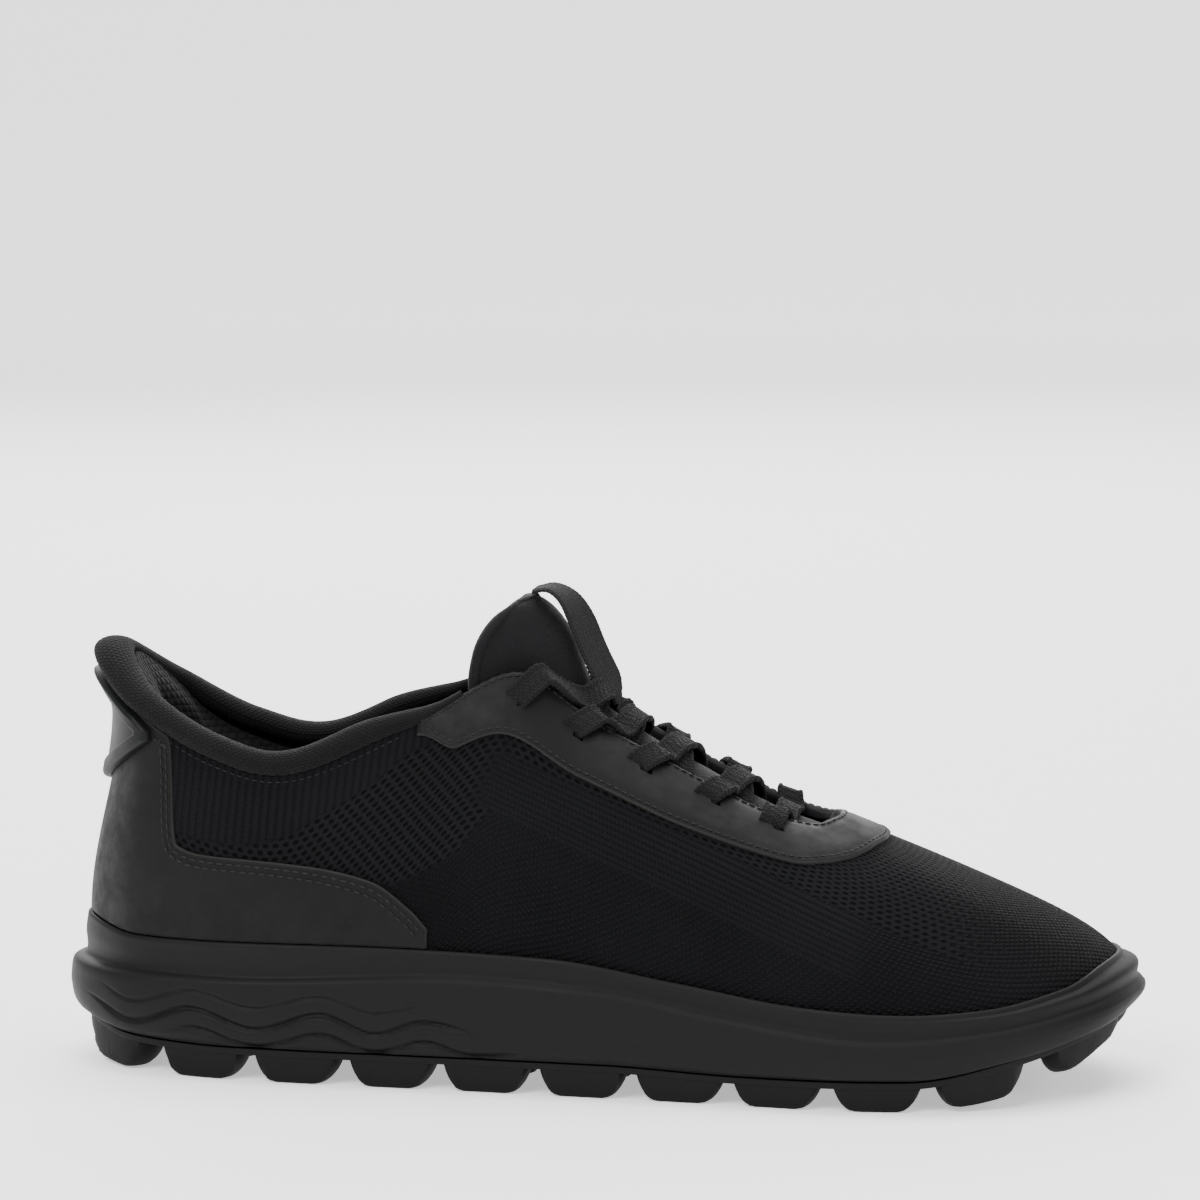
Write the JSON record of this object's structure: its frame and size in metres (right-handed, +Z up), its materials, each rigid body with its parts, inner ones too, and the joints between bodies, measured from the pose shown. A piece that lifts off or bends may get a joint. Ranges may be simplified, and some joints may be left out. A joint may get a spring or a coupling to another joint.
{
  "type": "slip-on knit sneaker",
  "caption": "Low slip-on sneaker for the right foot: knit upper, padded collar, criss-cross elastic lace, tongue with pull loop, removable footbed and a podded rubber sole.",
  "frame": {"origin": "on the ground under the middle of the shoe's box", "axes": "+X towards the toe, +Y towards the inner (medial) side of the foot, +Z up"},
  "size_m": [0.3022, 0.1034, 0.1352],
  "materials": {
    "sole_rubber": "matte",
    "sole_foam": "matte",
    "board": "matte",
    "footbed_foam": "matte",
    "lining_textile": "matte",
    "knit": "matte",
    "collar_textile": "matte",
    "overlay": "matte",
    "tab_rubber": "matte",
    "tongue_textile": "matte",
    "webbing": "matte",
    "lace_braid": "matte"
  },
  "bodies": {
    "shoe": {"outsole": "sole_rubber", "midsole": "sole_foam", "strobel_board": "board", "upper_knit": "knit", "toe_puff": "board", "heel_counter": "board", "lining": "lining_textile", "collar_foam": "footbed_foam", "collar_roll": "collar_textile", "heel_wrap": "overlay", "heel_tab": "tab_rubber", "eyestay": "overlay", "elastic_lace": "lace_braid"},
    "tongue": {"tongue_cover": "tongue_textile", "tongue_foam": "footbed_foam", "tongue_lining": "lining_textile", "pull_loop": "webbing"},
    "footbed": {"insole": "footbed_foam", "insole_cover": "lining_textile"}
  },
  "joints": [
    {"name": "tongue_tilt", "type": "hinge", "parent": "shoe", "child": "tongue", "pos_m": [0.0705, 0.0016, 0.0668], "axis": [0, 1, 0], "range_deg": [-2.5, 0], "stiffness_Nm_per_rad": 0.5, "springref_deg": 5.73},
    {"name": "footbed_lift", "type": "hinge", "parent": "shoe", "child": "footbed", "pos_m": [0.1385, 0.0016, 0.033], "axis": [0, 1, 0], "range_deg": [0, 6]}
  ]
}
